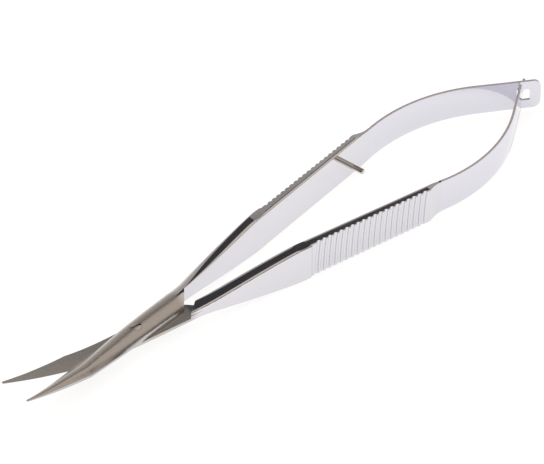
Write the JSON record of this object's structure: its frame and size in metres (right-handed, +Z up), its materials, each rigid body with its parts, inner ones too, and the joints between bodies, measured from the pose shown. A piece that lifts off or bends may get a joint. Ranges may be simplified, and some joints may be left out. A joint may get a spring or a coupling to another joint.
{
  "type": "thread snips",
  "caption": "Slim spring-handled thread snips: crossed curved blades on a slotted pivot screw, ribbed flat grips and leaf springs hooked together at the tail.",
  "frame": {"origin": "centre of the overall length and width, on the surface the snips lie on", "axes": "+X from the blade tips to the tail, +Z up along the pivot screw, +Y towards the handle of the upper lever"},
  "size_m": [0.12, 0.02, 0.0074],
  "materials": {
    "lever_steel": "polished handles, satin-ground blades",
    "leaf_steel": "polished",
    "screw_steel": "fine turned",
    "pin_steel": "polished"
  },
  "bodies": {
    "lower_lever": {"lower_lever": "lever_steel", "pivot_screw": "screw_steel"},
    "upper_lever": {"upper_lever": "lever_steel", "stop_pin": "pin_steel"},
    "tongue_leaf": {"tongue_leaf_spring": "leaf_steel"},
    "slotted_leaf": {"slotted_leaf_spring": "leaf_steel"}
  },
  "joints": [
    {"name": "blade_pivot", "type": "hinge", "parent": "lower_lever", "child": "upper_lever", "pos_m": [-0.0338, 0, 0.0036], "axis": [0, 0, -1], "range_deg": [0, 12.6], "stiffness_Nm_per_rad": 0.4},
    {"name": "slotted_leaf_flex", "type": "hinge", "parent": "upper_lever", "child": "slotted_leaf", "pos_m": [0.02846, 0.00926, 0.0036], "axis": [0, 0, 1], "range_deg": [0, 24.5]},
    {"name": "tongue_leaf_flex", "type": "hinge", "parent": "lower_lever", "child": "tongue_leaf", "pos_m": [0.02846, -0.00926, 0.0036], "axis": [0, 0, -1], "range_deg": [0, 18]}
  ],
  "couplings": [
    {"joint": "slotted_leaf_flex", "follows": "blade_pivot", "ratio": 1.8133},
    {"joint": "tongue_leaf_flex", "follows": "blade_pivot", "ratio": 1.3334}
  ]
}
